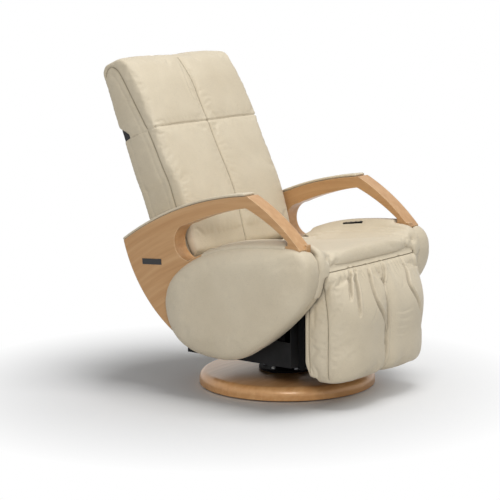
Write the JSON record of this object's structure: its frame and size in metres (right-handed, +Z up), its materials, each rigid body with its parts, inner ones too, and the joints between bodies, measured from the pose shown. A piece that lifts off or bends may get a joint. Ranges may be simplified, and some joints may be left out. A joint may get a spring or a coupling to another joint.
{
  "type": "massage chair",
  "caption": "Upholstered swivel recliner with beech arm loops, side pods, lifting leg rest and a roller massage unit in its back.",
  "frame": {"origin": "centre of the round base on the floor, on the swivel axis", "axes": "+Z up, -Y towards the front of the chair, +X towards the sitter's left"},
  "size_m": [0.742, 0.9849, 1.0864],
  "materials": {
    "beech": "clear satin lacquer",
    "plywood": "raw plywood",
    "leather": "soft cream leather",
    "back_leather": "moulded shell wrapped in cream leather",
    "black_steel": "black powder coat",
    "bright_steel": "bright zinc",
    "black_plastic": "fine texture",
    "grey_plastic": "smooth",
    "roller_rubber": "smooth"
  },
  "bodies": {
    "base": {"base_disc": "beech", "base_glides": "black_plastic", "base_flange": "black_steel", "base_flange_screws": "bright_steel", "swivel_column": "black_steel", "thrust_bearing": "bright_steel"},
    "seat": {"swivel_plate": "black_steel", "chassis_frame": "black_steel", "seat_deck": "plywood", "deck_bearers": "plywood", "belly_pan": "black_plastic", "power_supply_box": "black_plastic", "power_inlet": "black_plastic", "side_board_left": "plywood", "side_board_right": "plywood", "side_pod_left": "leather", "side_pod_right": "leather", "side_frame_left": "beech", "side_frame_right": "beech", "side_frame_bolts": "bright_steel", "armrest_pad_left": "leather", "armrest_pad_right": "leather", "name_plate": "black_plastic", "inner_bolster_left": "leather", "inner_bolster_right": "leather", "control_panel": "black_plastic", "seat_cushion": "leather", "back_hinge_pins": "bright_steel", "recline_actuator": "black_plastic", "leg_rest_actuator": "black_plastic", "recline_cradle": "black_steel", "leg_rest_cradle": "black_steel", "leg_hinge_brackets": "black_steel", "leg_hinge_pins": "bright_steel"},
    "back": {"back_frame": "black_steel", "back_shell": "back_leather", "back_pad": "leather", "head_pad": "leather", "massage_rails": "bright_steel", "lift_motor": "black_plastic"},
    "lead_screw": {"lead_screw": "bright_steel"},
    "carriage": {"massage_carriage": "black_steel", "kneading_shaft": "bright_steel", "kneading_motor": "black_plastic"},
    "roller_arm_left": {"roller_arm_left": "black_steel"},
    "roller_arm_right": {"roller_arm_right": "black_steel"},
    "massage_roller_upper_left": {"massage_roller_upper_left": "roller_rubber"},
    "massage_roller_lower_left": {"massage_roller_lower_left": "roller_rubber"},
    "massage_roller_upper_right": {"massage_roller_upper_right": "roller_rubber"},
    "massage_roller_lower_right": {"massage_roller_lower_right": "roller_rubber"},
    "recline_rod": {"recline_rod": "bright_steel"},
    "leg_rest_rod": {"leg_rest_rod": "bright_steel"},
    "leg_rest": {"leg_rest_frame": "black_steel", "leg_rest_board": "plywood", "leg_rest_pad": "leather"},
    "power_switch": {"power_switch": "black_plastic"},
    "control_button_1": {"control_button_1": "grey_plastic"},
    "control_button_2": {"control_button_2": "grey_plastic"},
    "control_button_3": {"control_button_3": "grey_plastic"},
    "control_button_4": {"control_button_4": "grey_plastic"}
  },
  "joints": [
    {"name": "seat_swivel", "type": "hinge", "parent": "base", "child": "seat", "pos_m": [0, 0, 0.186], "axis": [0, 0, 1], "continuous": true},
    {"name": "back_recline", "type": "hinge", "parent": "seat", "child": "back", "pos_m": [0, 0.195, 0.36], "axis": [-1, 0, 0], "range_deg": [0, 45]},
    {"name": "leg_rest_lift", "type": "hinge", "parent": "seat", "child": "leg_rest", "pos_m": [0, -0.334, 0.448], "axis": [-1, 0, 0], "range_deg": [0, 78]},
    {"name": "recline_rod_slide", "type": "slide", "parent": "seat", "child": "recline_rod", "axis": [0, -1, 0], "range_m": [0, 0.0731]},
    {"name": "leg_rest_rod_slide", "type": "slide", "parent": "seat", "child": "leg_rest_rod", "axis": [0, -1, 0], "range_m": [0, 0.14606]},
    {"name": "carriage_lift", "type": "slide", "parent": "back", "child": "carriage", "axis": [0, 0.3665, 0.9304], "range_m": [-0.14, 0.23]},
    {"name": "lead_screw_spin", "type": "hinge", "parent": "back", "child": "lead_screw", "pos_m": [0, 0.26199, 0.33361], "axis": [0, 0.3665, 0.9304], "continuous": true},
    {"name": "knead_left", "type": "hinge", "parent": "carriage", "child": "roller_arm_left", "pos_m": [0, 0.33642, 0.65897], "axis": [1, 0, 0], "range_deg": [-8, 8]},
    {"name": "knead_right", "type": "hinge", "parent": "carriage", "child": "roller_arm_right", "pos_m": [0, 0.33642, 0.65897], "axis": [1, 0, 0], "range_deg": [-8, 8]},
    {"name": "roller_spin_upper_left", "type": "hinge", "parent": "roller_arm_left", "child": "massage_roller_upper_left", "pos_m": [0, 0.34809, 0.69952], "axis": [1, 0, 0], "continuous": true},
    {"name": "roller_spin_lower_left", "type": "hinge", "parent": "roller_arm_left", "child": "massage_roller_lower_left", "pos_m": [0, 0.3173, 0.62136], "axis": [1, 0, 0], "continuous": true},
    {"name": "roller_spin_upper_right", "type": "hinge", "parent": "roller_arm_right", "child": "massage_roller_upper_right", "pos_m": [0, 0.34809, 0.69952], "axis": [1, 0, 0], "continuous": true},
    {"name": "roller_spin_lower_right", "type": "hinge", "parent": "roller_arm_right", "child": "massage_roller_lower_right", "pos_m": [0, 0.3173, 0.62136], "axis": [1, 0, 0], "continuous": true},
    {"name": "power_switch_rock", "type": "hinge", "parent": "seat", "child": "power_switch", "pos_m": [0.0139, 0.2225, 0.153], "axis": [1, 0, 0], "range_deg": [-7, 7]},
    {"name": "button_1_press", "type": "slide", "parent": "seat", "child": "control_button_1", "axis": [0, -0.1418, -0.9899], "range_m": [0, 0.001], "stiffness_N_per_m": 300, "springref_m": -0.001},
    {"name": "button_2_press", "type": "slide", "parent": "seat", "child": "control_button_2", "axis": [0, -0.1418, -0.9899], "range_m": [0, 0.001], "stiffness_N_per_m": 300, "springref_m": -0.001},
    {"name": "button_3_press", "type": "slide", "parent": "seat", "child": "control_button_3", "axis": [0, -0.1418, -0.9899], "range_m": [0, 0.001], "stiffness_N_per_m": 300, "springref_m": -0.001},
    {"name": "button_4_press", "type": "slide", "parent": "seat", "child": "control_button_4", "axis": [0, -0.1418, -0.9899], "range_m": [0, 0.001], "stiffness_N_per_m": 300, "springref_m": -0.001}
  ],
  "couplings": [
    {"joint": "recline_rod_slide", "follows": "back_recline", "m_per_rad": 0.092821},
    {"joint": "leg_rest_rod_slide", "follows": "leg_rest_lift", "m_per_rad": 0.10714},
    {"joint": "lead_screw_spin", "follows": "carriage_lift", "rad_per_m": 628.32},
    {"joint": "knead_right", "follows": "knead_left", "ratio": -1}
  ]
}
